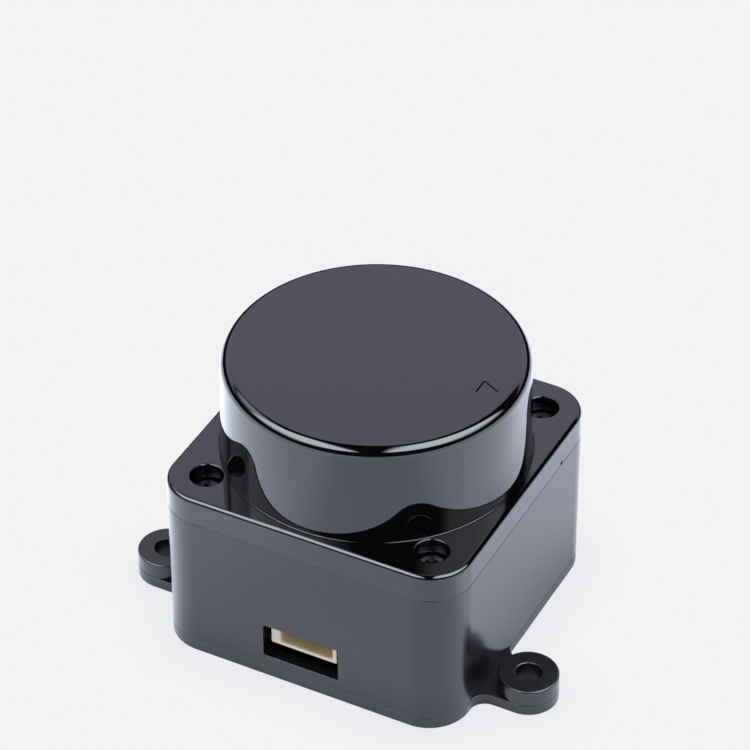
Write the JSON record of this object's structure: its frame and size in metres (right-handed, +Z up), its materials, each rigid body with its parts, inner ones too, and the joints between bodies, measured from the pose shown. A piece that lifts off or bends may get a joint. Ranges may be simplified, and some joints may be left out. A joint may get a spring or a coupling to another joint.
{
  "type": "lidar scanner module",
  "caption": "Compact 360 degree lidar scanner: square housing on an eared base plate, fixed infrared dome over a direct-drive spinning optics rotor, side socket.",
  "frame": {"origin": "on the scan axis, on the face that the module stands on", "axes": "+Z up along the scan axis, +X the scanner's zero direction marked by the arrow on the dome, -Y the side with the socket"},
  "size_m": [0.0554, 0.047, 0.036],
  "materials": {
    "base_plastic": "satin black moulding",
    "housing_plastic": "satin black moulding",
    "cover_plastic": "high gloss black",
    "dome_plastic": "high gloss black, passes infrared",
    "gasket_rubber": "soft matt",
    "black_screw_steel": "black zinc",
    "bright_screw_steel": "bright zinc",
    "circuit_board": "black solder mask",
    "chip_resin": "moulded epoxy",
    "ceramic": "fired ceramic",
    "ivory_nylon": "natural nylon",
    "gold_contact": "plated",
    "mount_metal": "turned",
    "core_steel": "stacked laminations",
    "winding_copper": "enamelled wire",
    "bearing_steel": "ground",
    "cage_brass": "pressed",
    "shaft_steel": "ground",
    "bell_steel": "deep drawn",
    "magnet": "nickel",
    "ferrite": "sintered",
    "rotor_plastic": "glass-filled nylon",
    "optical_plastic": "polished",
    "filter_glass": "coated",
    "can_steel": "tinned",
    "weight_brass": "turned"
  },
  "bodies": {
    "module_body": {"base_plate": "base_plastic", "housing": "housing_plastic", "top_cover": "cover_plastic", "dome": "dome_plastic", "dome_gasket": "gasket_rubber", "cover_screws": "black_screw_steel", "base_screws": "black_screw_steel", "main_board": "circuit_board", "board_chips": "chip_resin", "board_capacitors": "ceramic", "board_screws": "bright_screw_steel", "connector_body": "ivory_nylon", "connector_pins": "gold_contact", "motor_mount": "mount_metal", "stator_core": "core_steel", "stator_windings": "winding_copper", "lower_bearing_outer": "bearing_steel", "upper_bearing_outer": "bearing_steel", "coil_carrier": "rotor_plastic", "primary_ferrite": "ferrite", "primary_coil": "winding_copper", "encoder_sensor": "chip_resin", "link_photodiode": "chip_resin"},
    "rotor": {"rotor_shaft": "shaft_steel", "shaft_clip": "black_screw_steel", "lower_bearing_inner": "bearing_steel", "upper_bearing_inner": "bearing_steel", "bearing_spacer": "mount_metal", "rotor_bell": "bell_steel", "rotor_magnets": "magnet", "turntable": "rotor_plastic", "turntable_screws": "bright_screw_steel", "secondary_ferrite": "ferrite", "secondary_coil": "winding_copper", "encoder_ring": "rotor_plastic", "rotor_board": "circuit_board", "rotor_chips": "chip_resin", "link_led": "optical_plastic", "optics_block": "rotor_plastic", "emitter_lens": "optical_plastic", "receiver_lens": "optical_plastic", "receiver_filter": "filter_glass", "ranging_board": "circuit_board", "laser_diode": "can_steel", "receiver_chip": "chip_resin", "shield_can": "can_steel", "board_link": "gold_contact", "optics_screws": "bright_screw_steel", "balance_weight": "weight_brass"},
    "lower_ball_set": {"lower_balls": "bearing_steel", "lower_cage": "cage_brass"},
    "upper_ball_set": {"upper_balls": "bearing_steel", "upper_cage": "cage_brass"}
  },
  "joints": [
    {"name": "scan_spin", "type": "hinge", "parent": "module_body", "child": "rotor", "pos_m": [0, 0, 0.0166], "axis": [0, 0, 1], "continuous": true},
    {"name": "lower_balls_roll", "type": "hinge", "parent": "module_body", "child": "lower_ball_set", "pos_m": [0, 0, 0.00665], "axis": [0, 0, 1], "continuous": true},
    {"name": "upper_balls_roll", "type": "hinge", "parent": "module_body", "child": "upper_ball_set", "pos_m": [0, 0, 0.01415], "axis": [0, 0, 1], "continuous": true}
  ],
  "couplings": [
    {"joint": "lower_balls_roll", "follows": "scan_spin", "ratio": 0.409},
    {"joint": "upper_balls_roll", "follows": "scan_spin", "ratio": 0.409}
  ]
}
